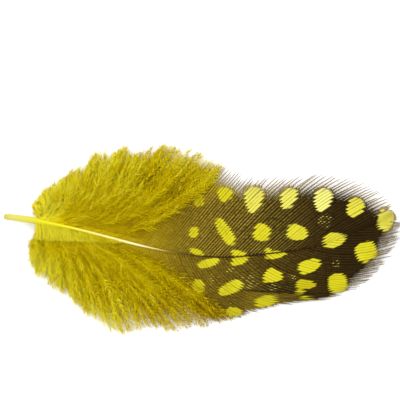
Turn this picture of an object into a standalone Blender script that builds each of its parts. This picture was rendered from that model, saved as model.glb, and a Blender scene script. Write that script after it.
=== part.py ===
"""Guinea fowl body feather, lying on its concave side: one grown piece with a quill, two vanes and a downy base.

Drawn in millimetres on the table: x runs from the root of the quill to the tip of the vane, y across
the feather and z up from the table. The finished solid is in metres, with its origin under the middle
of its own box, at table height.
"""

import math

import bmesh
import bpy
import numpy as np

MM = 0.001

# Driving dimensions, in millimetres
FEATHER_LENGTH = 75.2
VANE_END = 73.2
DOWN_START = 6.4
VANE_START = 19.0
VANE_THICKNESS = 0.4
SHAFT_LEAST_HALF_HEIGHT = 0.34
VANE_EDGE_HEIGHT = 0.22
LOCKS_PER_SIDE = 26
LOCK_THICKNESS = 2.3
LOCK_WIDTH = 3.5
LOCK_LEAST_HEIGHT = 0.78
FREE_LOCKS_END = 27.0
VANE_LOCK_REACH = 0.86
TEETH_PER_SIDE = 13
WELD_DISTANCE = 0.005

# The shaft's line: x, y, height of its middle, radius
SHAFT = (
    (0.0, 5.4, 1.05, 0.42),
    (0.5, 5.38, 1.15, 0.60),
    (3.0, 5.1, 1.70, 0.66),
    (6.4, 4.6, 2.60, 0.72),
    (9.0, 4.15, 3.25, 0.56),
    (13.9, 3.15, 4.20, 0.40),
    (18.7, 1.95, 4.80, 0.34),
    (23.6, 0.65, 5.00, 0.31),
    (28.4, -0.5, 4.95, 0.29),
    (33.3, -1.45, 4.75, 0.27),
    (38.0, -2.05, 4.45, 0.25),
    (43.0, -2.2, 4.05, 0.24),
    (49.0, -1.7, 3.45, 0.23),
    (55.1, -1.0, 2.80, 0.22),
    (61.2, 0.25, 2.05, 0.21),
    (67.2, 2.55, 1.20, 0.20),
    (70.6, 3.85, 0.80, 0.19),
    (73.2, 4.35, 0.55, 0.18),
)

# Barbs of each side: where a barb leaves the shaft, where its tip lies (x, y), and its heading at
# root and tip in degrees, counted from the way the feather points towards +y
UPPER_BARBS = (
    (6.4, 5.6, 7.6, 118, 98),
    (9.2, 8.4, 11.5, 98, 96),
    (12.6, 13.0, 15.0, 84, 94),
    (17.4, 19.9, 17.8, 72, 86),
    (22.1, 27.4, 18.8, 64, 76),
    (26.9, 35.4, 17.7, 59, 62),
    (31.3, 42.6, 15.4, 55, 46),
    (35.4, 49.1, 13.5, 53, 35),
    (40.2, 54.6, 13.7, 52, 32),
    (45.9, 60.5, 14.0, 50, 28),
    (51.6, 65.4, 13.6, 48, 25),
    (57.3, 69.8, 12.3, 45, 22),
    (63.0, 73.2, 9.9, 38, 21),
    (67.4, 74.7, 7.3, 30, 18),
    (70.6, 75.1, 5.8, 22, 14),
    (73.2, 75.2, 4.8, 16, 10),
)
LOWER_BARBS = (
    (6.4, 5.3, -1.2, -112, -98),
    (9.2, 5.7, -5.8, -104, -97),
    (11.7, 8.9, -9.2, -97, -94),
    (15.5, 14.5, -12.9, -86, -89),
    (19.9, 21.2, -16.4, -76, -82),
    (24.0, 28.8, -16.4, -68, -64),
    (27.8, 37.3, -15.6, -62, -36),
    (32.0, 44.6, -14.2, -58, -16),
    (37.3, 51.0, -12.4, -57, -10),
    (42.1, 56.9, -10.9, -55, -6),
    (46.8, 62.4, -10.4, -52, -3),
    (52.5, 67.2, -8.4, -45, 5),
    (57.3, 70.4, -5.7, -38, 12),
    (62.0, 73.1, -2.7, -28, 19),
    (66.2, 74.6, 0.6, -14, 20),
    (70.2, 75.0, 2.7, -8, 14),
    (73.2, 75.1, 4.0, 2, 8),
)


def through(stations, values, at):
    """A smooth curve through the values at the stations: a cubic whose slope at each station is its neighbours'."""
    stations = np.asarray(stations, float)
    values = np.asarray(values, float)
    slopes = np.gradient(values, stations)
    at = np.clip(at, stations[0], stations[-1])
    left = np.clip(np.searchsorted(stations, at, side="right") - 1, 0, len(stations) - 2)
    span = stations[left + 1] - stations[left]
    f = (at - stations[left]) / span
    start = (1 + 2 * f) * (1 - f) ** 2
    end = f * f * (3 - 2 * f)
    turn_start = f * (1 - f) ** 2 * span
    turn_end = f * f * (f - 1) * span
    return start * values[left] + end * values[left + 1] + turn_start * slopes[left] + turn_end * slopes[left + 1]


def shaft_at(x):
    """The shaft's middle and radius over x, as an array of x, y, z and an array of radii."""
    table = np.array(SHAFT)
    x = np.asarray(x, float)
    y = through(table[:, 0], table[:, 1], x)
    z = through(table[:, 0], table[:, 2], x)
    return np.stack([x, y, z], axis=-1), through(table[:, 0], table[:, 3], x)


def barb_at(barbs, root_x, share):
    """The point at a share of the length of the barb that leaves the shaft at root_x, a Bezier curve seen from above.

    The barb drops from the shaft to the vane's edge as the share to the power of 1.7, so the vane is a low arch.
    """
    table = np.array(barbs)
    root_x, share = np.broadcast_arrays(np.asarray(root_x, float), np.asarray(share, float))
    root, _ = shaft_at(root_x)
    tip_x, tip_y, root_turn, tip_turn = (through(table[:, 0], table[:, i], root_x) for i in (1, 2, 3, 4))
    reach = np.hypot(tip_x - root[..., 0], tip_y - root[..., 1]) * 0.38
    root_turn = np.radians(root_turn)
    tip_turn = np.radians(tip_turn)
    s = share
    b0, b1, b2, b3 = (1 - s) ** 3, 3 * s * (1 - s) ** 2, 3 * s * s * (1 - s), s**3
    x = (
        b0 * root[..., 0]
        + b1 * (root[..., 0] + reach * np.cos(root_turn))
        + b2 * (tip_x - reach * np.cos(tip_turn))
        + b3 * tip_x
    )
    y = (
        b0 * root[..., 1]
        + b1 * (root[..., 1] + reach * np.sin(root_turn))
        + b2 * (tip_y - reach * np.sin(tip_turn))
        + b3 * tip_y
    )
    z = root[..., 2] + (VANE_EDGE_HEIGHT - root[..., 2]) * s**1.7
    return np.stack([x, y, z], axis=-1)


def new_object(name, mesh_builder):
    """A mesh object at the world's origin, whose bmesh the builder has filled in millimetres."""
    bm = bmesh.new()
    mesh_builder(bm)
    bmesh.ops.recalc_face_normals(bm, faces=bm.faces)
    bmesh.ops.scale(bm, vec=(MM, MM, MM), verts=bm.verts)
    mesh = bpy.data.meshes.new(name)
    bm.to_mesh(mesh)
    bm.free()
    obj = bpy.data.objects.new(name, mesh)
    bpy.context.scene.collection.objects.link(obj)
    return obj


def tube(bm, line, half_widths, half_heights, sides):
    """A closed tube along the line, whose rings are ellipses that stand upright and square to the line."""
    along = np.gradient(line, axis=0)
    along[:, 2] = 0.0
    along /= np.linalg.norm(along, axis=1, keepdims=True)
    across = np.stack([-along[:, 1], along[:, 0], np.zeros(len(line))], axis=1)
    rings = []
    for centre, side, width, height in zip(line, across, half_widths, half_heights):
        ring = []
        for k in range(sides):
            turn = 2 * math.pi * (k + 0.5) / sides
            point = centre + side * width * math.cos(turn) + np.array((0, 0, height * math.sin(turn)))
            ring.append(bm.verts.new(point))
        rings.append(ring)
    for ring, after in zip(rings, rings[1:]):
        for k in range(sides):
            bm.faces.new((ring[k], ring[(k + 1) % sides], after[(k + 1) % sides], after[k]))
    bm.faces.new(rings[0])
    bm.faces.new(rings[-1])


def make_shaft():
    """Quill and rachis: one tapering tube, a little taller than the vane is thick."""
    xs = np.array([row[0] for row in SHAFT])
    line, radii = shaft_at(xs)
    heights = np.maximum(radii, SHAFT_LEAST_HALF_HEIGHT)
    return new_object("feather", lambda bm: tube(bm, line, radii, heights, sides=8))


def make_vanes():
    """Both vanes: a thin arched sheet across the shaft, whose edges are parted into teeth at the barbs' tips."""
    columns = TEETH_PER_SIDE * 4 + 1
    shares = (0.0, 0.24, 0.5, 0.77, 1.0)
    tooth = (0.93, 0.985, 1.0, 0.985)
    roots = VANE_START + (VANE_END - VANE_START) * np.linspace(0, 1, columns)

    def fill(bm):
        grid = []
        for i, root_x in enumerate(roots):
            reach = tooth[i % 4] if 0 < i < columns - 1 else 1.0
            upper = [bm.verts.new(barb_at(UPPER_BARBS, root_x, share * reach)) for share in shares]
            lower = [bm.verts.new(barb_at(LOWER_BARBS, root_x, share * reach)) for share in shares[1:]]
            grid.append([*reversed(lower), *upper])
        for left, right in zip(grid, grid[1:]):
            for j in range(len(left) - 1):
                bm.faces.new((left[j], left[j + 1], right[j + 1], right[j]))

    vane = new_object("vane_form", fill)
    solidify = vane.modifiers.new("thickness", "SOLIDIFY")
    solidify.thickness = VANE_THICKNESS * MM
    solidify.offset = 0.0
    return vane


def make_lock(name, barbs, root_x, start, lift, width, reach):
    """One lock of down: a flattened tuft that swells from the shaft and ends in a point at the feather's edge.

    Its middle stays at LOCK_LEAST_HEIGHT or above, less than half its thickness, so the table flattens its underside.
    """
    shares = np.array((0.0, 0.18, 0.4, 0.62, 0.82, 1.0))
    swell = np.array((0.34, 0.74, 1.0, 0.94, 0.62, 0.12))
    line = barb_at(barbs, root_x, start + (reach - start) * shares)
    line[:, 2] = np.maximum(line[:, 2] - 0.4, LOCK_LEAST_HEIGHT) + lift * np.sin(math.pi * np.minimum(shares, 0.9))
    return new_object(
        name,
        lambda bm: tube(bm, line, width / 2 * swell, LOCK_THICKNESS / 2 * (0.3 + 0.7 * swell), sides=6),
    )


def make_locks():
    """The downy base: tufts along both sides, in turn high and low, that start further out where the vane begins."""
    locks = bpy.data.collections.new("down_forms")
    bpy.context.scene.collection.children.link(locks)
    last_root = {"upper": 32.5, "lower": 31.0}
    for side, barbs in (("upper", UPPER_BARBS), ("lower", LOWER_BARBS)):
        for i in range(LOCKS_PER_SIDE):
            along = i / (LOCKS_PER_SIDE - 1)
            root_x = DOWN_START + (last_root[side] - DOWN_START) * along
            start = 0.02 + 0.55 * max(0.0, (root_x - VANE_START) / (last_root[side] - VANE_START))
            lift = (0.9, -0.5, 0.3)[i % 3]
            width = LOCK_WIDTH * (0.7 + 0.3 * min(1.0, along * 3))
            reach = (1.0, 0.94, 0.98, 0.92)[i % 4] if root_x < FREE_LOCKS_END else VANE_LOCK_REACH
            lock = make_lock(f"{side}_lock_{i:02d}", barbs, root_x, start, lift, width, reach)
            bpy.context.scene.collection.objects.unlink(lock)
            locks.objects.link(lock)
    return locks


def hide(obj):
    """A form that the feather is made from, and that isn't itself part of the model."""
    obj.hide_render = True
    obj.display_type = "WIRE"


def join_forms(feather, operation, name, other):
    """One exact Boolean of the feather with an object or a collection of them, applied to its mesh."""
    cut = feather.modifiers.new(name, "BOOLEAN")
    cut.operation = operation
    cut.solver = "EXACT"
    if isinstance(other, bpy.types.Collection):
        cut.operand_type = "COLLECTION"
        cut.collection = other
    else:
        cut.object = other


def apply_modifiers(obj):
    """The object's mesh as its modifiers leave it."""
    bpy.context.view_layer.update()
    evaluated = obj.evaluated_get(bpy.context.evaluated_depsgraph_get())
    mesh = bpy.data.meshes.new_from_object(evaluated)
    bm = bmesh.new()
    bm.from_mesh(mesh)
    bmesh.ops.triangulate(bm, faces=bm.faces)
    bmesh.ops.remove_doubles(bm, verts=bm.verts, dist=WELD_DISTANCE * MM)
    bmesh.ops.dissolve_degenerate(bm, edges=bm.edges, dist=WELD_DISTANCE * MM)
    bm.to_mesh(mesh)
    bm.free()
    obj.modifiers.clear()
    obj.data = mesh


def make_table_cutter():
    """The block below table height, which flattens the underside of the down where the feather lies on it."""

    def fill(bm):
        bmesh.ops.create_cube(bm, size=1.0)
        bmesh.ops.scale(bm, vec=(120, 80, 10), verts=bm.verts)
        bmesh.ops.translate(bm, vec=(FEATHER_LENGTH / 2, 0, -5), verts=bm.verts)

    return new_object("table_cutter", fill)


def centre_on_table(obj):
    """Moves the mesh so that the origin lies under the middle of its box, at its lowest height."""
    points = np.array([v.co for v in obj.data.vertices])
    low, high = points.min(axis=0), points.max(axis=0)
    shift = np.array(((low[0] + high[0]) / 2, (low[1] + high[1]) / 2, low[2]))
    for vertex, point in zip(obj.data.vertices, points - shift):
        vertex.co = point
    print("drawing zero moved by", [round(float(v / MM), 3) for v in -shift], "mm")


def dyed_barb_material():
    """Dyed yellow down and barbs: dull, with no metal in it."""
    material = bpy.data.materials.new("dyed_yellow_feather")
    material.use_nodes = True
    shader = material.node_tree.nodes["Principled BSDF"]
    shader.inputs["Base Color"].default_value = (0.56, 0.47, 0.02, 1.0)
    shader.inputs["Roughness"].default_value = 0.75
    shader.inputs["Metallic"].default_value = 0.0
    return material


def main():
    """Builds the forms, joins them into the one grown piece and stands it on the table."""
    for old in list(bpy.data.objects):
        bpy.data.objects.remove(old, do_unlink=True)
    feather = make_shaft()
    vanes = make_vanes()
    locks = make_locks()
    join_forms(feather, "UNION", "add_vanes", vanes)
    join_forms(feather, "UNION", "add_down", locks)
    table = make_table_cutter()
    join_forms(feather, "DIFFERENCE", "lie_on_table", table)
    apply_modifiers(feather)
    for form in (vanes, *locks.objects, table):
        hide(form)
    centre_on_table(feather)
    feather.data.materials.clear()
    feather.data.materials.append(dyed_barb_material())
    feather.data.shade_smooth()
    feather.data.set_sharp_from_angle(angle=math.radians(40))


main()
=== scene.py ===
"""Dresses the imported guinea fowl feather: quill and rachis, two spotted vanes of barbs, and dyed down.

Sizes are in millimetres and in the drawing's own frame (x from the root of the quill to the tip of the
vane, y across the feather, z up from the table). A mesh is made of them in metres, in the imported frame.
"""

from __future__ import annotations

import logging
import math
from dataclasses import dataclass, field
from enum import Enum
from typing import Any

import bpy
import numpy as np
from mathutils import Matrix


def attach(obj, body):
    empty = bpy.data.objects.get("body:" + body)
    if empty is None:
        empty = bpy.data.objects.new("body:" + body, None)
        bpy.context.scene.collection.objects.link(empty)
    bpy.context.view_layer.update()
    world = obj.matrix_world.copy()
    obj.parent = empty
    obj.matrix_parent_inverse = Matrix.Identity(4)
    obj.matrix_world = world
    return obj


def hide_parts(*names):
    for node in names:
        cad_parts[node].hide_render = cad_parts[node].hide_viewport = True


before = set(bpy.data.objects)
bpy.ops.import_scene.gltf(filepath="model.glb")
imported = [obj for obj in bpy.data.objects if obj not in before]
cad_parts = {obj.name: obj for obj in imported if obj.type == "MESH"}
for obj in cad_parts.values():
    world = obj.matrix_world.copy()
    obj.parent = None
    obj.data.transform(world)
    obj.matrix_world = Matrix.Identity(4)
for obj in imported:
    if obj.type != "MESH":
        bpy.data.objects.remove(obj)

Array = np.ndarray
Colour = tuple[float, float, float, float]
Rng = np.random.Generator
Rows = tuple[tuple[float, ...], ...]
Values = dict[str, Array]

MM = 0.001
NODE = "feather"
BODY = "root"
UP = np.array((0.0, 0.0, 1.0))
LEVEL = np.array((1.0, 1.0, 0.0))
# Where the drawing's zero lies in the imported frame, and the length of the feather.
DRAWING_ZERO = np.array((-37.613, -1.048, 0.0))
LENGTH = 75.2
# Where the first and the last barb leave the shaft.
FIRST_ROOT, LAST_ROOT = 6.4, 73.2
# The bake map: its name, the lowest and highest x and y that it covers, and how far it leans with height.
BAKE_MAP = "OFBake"
BAKE_LOW = np.array((-39.0, -20.0))
BAKE_HIGH = np.array((39.5, 20.0))
BAKE_LEAN = np.array((0.13, 0.07))

log = logging.getLogger("feather")


class Side(Enum):
    """The side of the shaft that a barb grows on, by the sign of its y."""

    UPPER = 1
    LOWER = -1

    def of(self, upper: Any, lower: Any) -> Any:
        """The one of two values that holds on this side."""
        return upper if self is Side.UPPER else lower


def srgb(red: int, green: int, blue: int) -> Colour:
    """The linear colour of an 8-bit display colour: ((c + 0.055) / 1.055) ** 2.4, or c / 12.92 if dark."""
    parts = []
    for part in (red, green, blue):
        c = part / 255
        parts.append(c / 12.92 if c <= 0.04045 else ((c + 0.055) / 1.055) ** 2.4)
    return (*parts, 1.0)


def smooth(low: float, high: float, at: Array) -> Array:
    """A rise from 0 at low to 1 at high: f * f * (3 - 2 f), where f is the share of the way there."""
    f = np.clip((np.asarray(at, float) - low) / (high - low), 0.0, 1.0)
    return f * f * (3 - 2 * f)


def straight(rows: Rows, at: Array) -> Array:
    """The table's second column over its first, on straight lines between the rows."""
    table = np.array(rows)
    return np.interp(at, table[:, 0], table[:, 1])


def through(rows: Rows, at: Array, column: int = 1) -> Array:
    """A smooth curve through a table's rows.

    Between two rows it is the Hermite cubic whose slope at each row is that of its neighbours.

    Args:
        rows: The table. Its first column holds the places, rising.
        at: The places to work out.
        column: The column that holds the values.

    Returns:
        The curve's values at those places.
    """
    table = np.array(rows, float)
    stations, values = table[:, 0], table[:, column]
    slopes = np.gradient(values, stations)
    at = np.clip(at, stations[0], stations[-1])
    left = np.clip(np.searchsorted(stations, at, side="right") - 1, 0, len(stations) - 2)
    span = stations[left + 1] - stations[left]
    f = (at - stations[left]) / span
    start = (1 + 2 * f) * (1 - f) ** 2 * values[left] + f * (1 - f) ** 2 * span * slopes[left]
    end = f * f * (3 - 2 * f) * values[left + 1] + f * f * (f - 1) * span * slopes[left + 1]
    return start + end


def unit(vectors: Array) -> Array:
    """The vectors at length 1."""
    return vectors / np.maximum(np.linalg.norm(vectors, axis=-1, keepdims=True), 1e-9)


def level(turn: Array) -> Array:
    """Level unit vectors at turns in radians, counted from the way the feather points towards +y."""
    return np.stack([np.cos(turn), np.sin(turn), np.zeros_like(turn)], axis=-1)


def turned(ahead: Array, turn: Array, rise: Array) -> Array:
    """Unit vectors: each heading turned about the upright by radians, with a rise added to its height."""
    x, y, z = np.moveaxis(ahead, -1, 0)
    c, s = np.cos(turn), np.sin(turn)
    return unit(np.stack([x * c - y * s, x * s + y * c, z + rise], axis=-1))


def bezier(corners: tuple[Array, Array, Array, Array], t: Array) -> Array:
    """Points on Bezier curves: the sum of four corners, each times its cubic Bernstein polynomial of t."""
    t = t[..., None]
    weights = ((1 - t) ** 3, 3 * t * (1 - t) ** 2, 3 * t * t * (1 - t), t**3)
    return sum(weight * corner for weight, corner in zip(weights, corners))


def between(points: Array, strand: Array, ring: Array) -> Array:
    """Points on strands at rings that aren't whole, straight between the two whole ones next to each."""
    low = ring.astype(int)
    high = np.minimum(low + 1, points.shape[1] - 1)
    part = (ring - low)[:, None]
    return points[strand, low] * (1 - part) + points[strand, high] * part


@dataclass(frozen=True)
class FeatherPlan:
    """The lines that the whole feather follows: the shaft, and the barbs of each side.

    Attributes:
        shaft: The shaft's x, y, height of its middle.
        barbs: For the upper side, then the lower: where a barb leaves the shaft, where its tip lies (x, y),
            and its heading at root and tip in degrees, counted from the way the feather points towards +y.
        down_from: For each side, root x and the share of the barb's length where it turns to down.
        bow: The share of a barb's chord that each of its two headings carries it.
        edge_height: The height of the vane's edge above the table.
        fall: The power of the share of the way out that gives the vane's fall from shaft to edge.
    """

    shaft: Rows = (
        (0.0, 5.4, 1.05), (0.5, 5.38, 1.15), (3.0, 5.1, 1.70), (6.4, 4.6, 2.60), (9.0, 4.15, 3.25),
        (13.9, 3.15, 4.20), (18.7, 1.95, 4.80), (23.6, 0.65, 5.00), (28.4, -0.5, 4.95),
        (33.3, -1.45, 4.75), (38.0, -2.05, 4.45), (43.0, -2.2, 4.05), (49.0, -1.7, 3.45),
        (55.1, -1.0, 2.80), (61.2, 0.25, 2.05), (67.2, 2.55, 1.20), (70.6, 3.85, 0.80),
        (73.2, 4.35, 0.55),
    )
    barbs: tuple[Rows, Rows] = (
        (
            (6.4, 5.6, 7.6, 118, 98), (8.8, 8.4, 11.5, 98, 96), (11.2, 13.0, 15.0, 84, 92),
            (14.8, 19.9, 17.8, 72, 82), (19.0, 27.4, 18.8, 62, 68), (23.9, 35.4, 17.7, 55, 58),
            (29.4, 42.6, 15.4, 49, 48), (35.2, 49.1, 13.5, 47, 43), (38.8, 54.6, 13.7, 46, 39),
            (42.3, 60.5, 14.0, 44.5, 33), (45.7, 65.4, 13.6, 44, 28), (50.0, 69.8, 12.3, 41, 24),
            (56.0, 73.2, 9.9, 36, 24), (61.6, 74.7, 7.3, 33, 26), (69.0, 75.1, 5.8, 26, 24),
            (73.2, 75.2, 4.8, 20, 14),
        ),
        (
            (6.4, 5.3, -1.2, -112, -98), (9.0, 5.7, -5.8, -102, -97), (11.3, 8.9, -9.2, -96, -94),
            (14.8, 14.5, -12.9, -88, -88), (18.8, 21.2, -16.4, -80, -82), (23.0, 28.8, -16.4, -77, -60),
            (27.4, 37.3, -15.6, -76, -40), (31.6, 44.6, -14.2, -74, -24), (36.4, 49.6, -12.9, -67, -20),
            (38.4, 53.6, -11.8, -62, -10), (40.3, 58.6, -10.8, -58, -2), (42.0, 63.6, -10.2, -55, 2),
            (44.0, 67.2, -8.4, -52, 7), (48.6, 70.4, -5.7, -43, 11), (53.8, 73.1, -2.7, -28, 13),
            (59.2, 74.6, 0.6, -14, 15), (65.0, 75.0, 2.7, 0, 16), (70.0, 75.1, 4.0, 8, 14),
            (73.2, 75.15, 4.4, 10, 10),
        ),
    )
    down_from: tuple[Rows, Rows] = (
        (
            (20.0, 0.0), (24.0, 0.05), (25.0, 0.15), (26.0, 0.3), (27.6, 0.46), (28.6, 0.6),
            (30.2, 0.74), (32.5, 0.92), (34.0, 1.0),
        ),
        (
            (14.0, 0.0), (20.0, 0.03), (23.0, 0.08), (26.0, 0.2), (28.0, 0.28), (29.5, 0.32),
            (30.4, 0.5), (31.6, 0.68), (32.4, 0.85), (33.2, 1.0),
        ),
    )
    bow: float = 0.38
    edge_height: float = 0.22
    fall: float = 1.7

    def shaft_at(self, x: Array) -> Array:
        """The shaft's middle over x, as points."""
        x = np.asarray(x, float)
        return np.stack([x, through(self.shaft, x), through(self.shaft, x, 2)], axis=-1)

    def fallen(self, top: Array, share: Array) -> Array:
        """The height where the vane has fallen from the shaft's height by a share of the way out."""
        return top + (self.edge_height - top) * share**self.fall

    def barb_at(self, side: Side, root_x: Array, share: Array) -> Array:
        """Points on barbs.

        Seen from above a barb is a Bezier curve from the shaft to its tip, and its height falls from the
        shaft's to the edge's as the share of its length to the power of the fall.

        Args:
            side: The side of the shaft.
            root_x: Where the barbs leave the shaft.
            share: The share of each barb's length, 0 at the shaft and 1 at its tip.

        Returns:
            The points, in the common shape of the two arrays.
        """
        table = side.of(*self.barbs)
        root_x, share = np.broadcast_arrays(np.asarray(root_x, float), np.asarray(share, float))
        root = self.shaft_at(root_x)
        tip_x, tip_y, root_turn, tip_turn = (through(table, root_x, column) for column in (1, 2, 3, 4))
        tip = np.stack([tip_x, tip_y, root[..., 2]], axis=-1)
        reach = self.bow * np.linalg.norm(tip - root, axis=-1, keepdims=True)
        first = root + reach * level(np.radians(root_turn))
        last = tip - reach * level(np.radians(tip_turn))
        points = bezier((root, first, last, tip), share)
        points[..., 2] = self.fallen(root[..., 2], np.clip(share, 0.0, 1.2))
        return points

    def barb_length(self, side: Side, root_x: Array) -> Array:
        """The length of each barb, as the sum of 24 chords."""
        points = self.barb_at(side, np.asarray(root_x, float)[:, None], np.linspace(0, 1, 25)[None, :])
        return np.linalg.norm(np.diff(points, axis=1), axis=-1).sum(axis=1)

    def height_at(self, side: Side, x: Array, y: Array) -> Array:
        """The height of the feather's upper face at places x along and y across it."""
        middle = self.shaft_at(x)
        edge = straight([row[1:3] for row in side.of(*self.barbs)], x)
        share = np.clip((y - middle[..., 1]) / (edge - middle[..., 1]), 0.0, 1.0)
        return self.fallen(middle[..., 2], share)

    def turns_to_down(self, side: Side, root_x: Array) -> Array:
        """The share of each barb's length where it turns from vane to down."""
        return straight(side.of(*self.down_from), root_x)


@dataclass
class MeshDraft:
    """Vertices, faces and named values that the strands of one piece add up to."""

    points: list[Array] = field(default_factory=list)
    corners: list[Array] = field(default_factory=list)
    totals: list[Array] = field(default_factory=list)
    values: dict[str, list[Array]] = field(default_factory=dict)
    count: int = 0

    def _faces(self, faces: Array) -> None:
        """Adds faces that all have as many corners as the array has columns."""
        self.corners.append(faces.reshape(-1) + self.count)
        self.totals.append(np.full(len(faces), faces.shape[1]))

    def _vertices(self, points: Array, values: Values) -> None:
        """Adds vertices, and their values spread to the points' shape."""
        shape = points.shape[:-1]
        for name, value in values.items():
            self.values.setdefault(name, []).append(np.broadcast_to(value, shape).reshape(-1))
        self.points.append(points.reshape(-1, 3))
        self.count += int(np.prod(shape))

    def add_tubes(self, rings: Array, values: Values) -> None:
        """Adds closed tubes.

        Args:
            rings: Points in the shape (tube, ring, corner, 3), with corners anticlockwise seen from its end.
            values: Named values that spread to the shape (tube, ring, corner).
        """
        tubes, length, around = rings.shape[:3]
        index = np.arange(tubes * length * around).reshape(tubes, length, around)
        near, far = index[:, :-1], index[:, 1:]
        quads = np.stack([near, np.roll(near, -1, axis=2), np.roll(far, -1, axis=2), far], axis=-1)
        self._faces(quads.reshape(-1, 4))
        self._faces(index[:, 0, ::-1])
        self._faces(index[:, -1])
        self._vertices(rings, values)

    def add_spikes(self, roots: Array, tips: Array, thickness: Array, values: Values) -> None:
        """Adds closed three-sided spikes.

        Args:
            roots: The middle of each spike's root triangle.
            tips: Each spike's point.
            thickness: The radius of each root triangle.
            values: Named values, one for each spike or four: three at its root and one at its point.
        """
        ahead = unit(tips - roots)
        aside = unit(np.cross(ahead, UP))
        above = np.cross(ahead, aside)
        radius = np.asarray(thickness)[..., None]
        turns = 2 * math.pi * np.arange(3) / 3
        corners = [roots + radius * (math.cos(turn) * aside + math.sin(turn) * above) for turn in turns]
        index = np.arange(len(roots) * 4).reshape(-1, 4)
        for order in ((0, 1, 3), (1, 2, 3), (2, 0, 3), (2, 1, 0)):
            self._faces(index[:, order])
        spread = {name: value if value.ndim == 2 else value[:, None] for name, value in values.items()}
        self._vertices(np.stack([*corners, tips], axis=1), spread)

    def build(self, name: str, material: bpy.types.Material) -> bpy.types.Object:
        """The dressed piece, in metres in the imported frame.

        Its bake map is the plan seen from above, leaned a little with height so that no face is edge-on.

        Args:
            name: The piece's name.
            material: What the piece is dressed in.

        Returns:
            The new mesh object, at the origin.
        """
        points = np.concatenate(self.points) + DRAWING_ZERO
        corners = np.concatenate(self.corners).astype(np.int32)
        totals = np.concatenate(self.totals).astype(np.int32)
        mesh = bpy.data.meshes.new(name)
        mesh.vertices.add(len(points))
        mesh.vertices.foreach_set("co", (points * MM).reshape(-1).astype(np.float32))
        mesh.loops.add(len(corners))
        mesh.loops.foreach_set("vertex_index", corners)
        mesh.polygons.add(len(totals))
        mesh.polygons.foreach_set("loop_start", (np.cumsum(totals) - totals).astype(np.int32))
        mesh.polygons.foreach_set("loop_total", totals)
        mesh.update(calc_edges=True)
        for value_name, parts in self.values.items():
            layer = mesh.attributes.new(value_name, "FLOAT", "POINT")
            layer.data.foreach_set("value", np.concatenate(parts).astype(np.float32))
        flat = (points[:, :2] + BAKE_LEAN * points[:, 2:] - BAKE_LOW) / (BAKE_HIGH - BAKE_LOW)
        flat = np.clip(flat, 0.0, 1.0)[corners].astype(np.float32)
        mesh.uv_layers.new(name=BAKE_MAP).data.foreach_set("uv", flat.reshape(-1))
        mesh.polygons.foreach_set("use_smooth", np.ones(len(totals), bool))
        mesh.materials.append(material)
        piece = bpy.data.objects.new(name, mesh)
        bpy.context.scene.collection.objects.link(piece)
        return piece


class Socket:
    """A shader socket that carries a number. Its operators add the Math nodes of the expression."""

    def __init__(self, nodes: "ShaderNodes", output: bpy.types.NodeSocket) -> None:
        """Wraps an output socket of the tree that nodes writes."""
        self.nodes = nodes
        self.output = output

    def _math(self, operation: str, *others: Any, first: Any = None) -> "Socket":
        """A Math node with this socket as its first value, or its second where first is given."""
        values = [self, *others] if first is None else [first, self]
        return self.nodes.number("ShaderNodeMath", {"operation": operation}, dict(enumerate(values)))

    def __add__(self, other: Any) -> "Socket":
        """This and another."""
        return self._math("ADD", other)

    __radd__ = __add__

    def __mul__(self, other: Any) -> "Socket":
        """This times another."""
        return self._math("MULTIPLY", other)

    __rmul__ = __mul__

    def __sub__(self, other: Any) -> "Socket":
        """This less another."""
        return self._math("SUBTRACT", other)

    def __rsub__(self, other: Any) -> "Socket":
        """Another less this."""
        return self._math("SUBTRACT", first=other)

    def __truediv__(self, other: Any) -> "Socket":
        """This over another."""
        return self._math("DIVIDE", other)

    def __abs__(self) -> "Socket":
        """This without its sign."""
        return self._math("ABSOLUTE")

    def floor(self) -> "Socket":
        """The whole number below."""
        return self._math("FLOOR")

    def sine(self) -> "Socket":
        """The sine, of radians."""
        return self._math("SINE")

    def rise(self, low: float, high: float) -> "Socket":
        """A smooth rise from 0 at low to 1 at high."""
        settings = {"interpolation_type": "SMOOTHSTEP"}
        return self.nodes.number("ShaderNodeMapRange", settings, {0: self, 1: low, 2: high, 3: 0.0, 4: 1.0})


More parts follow.
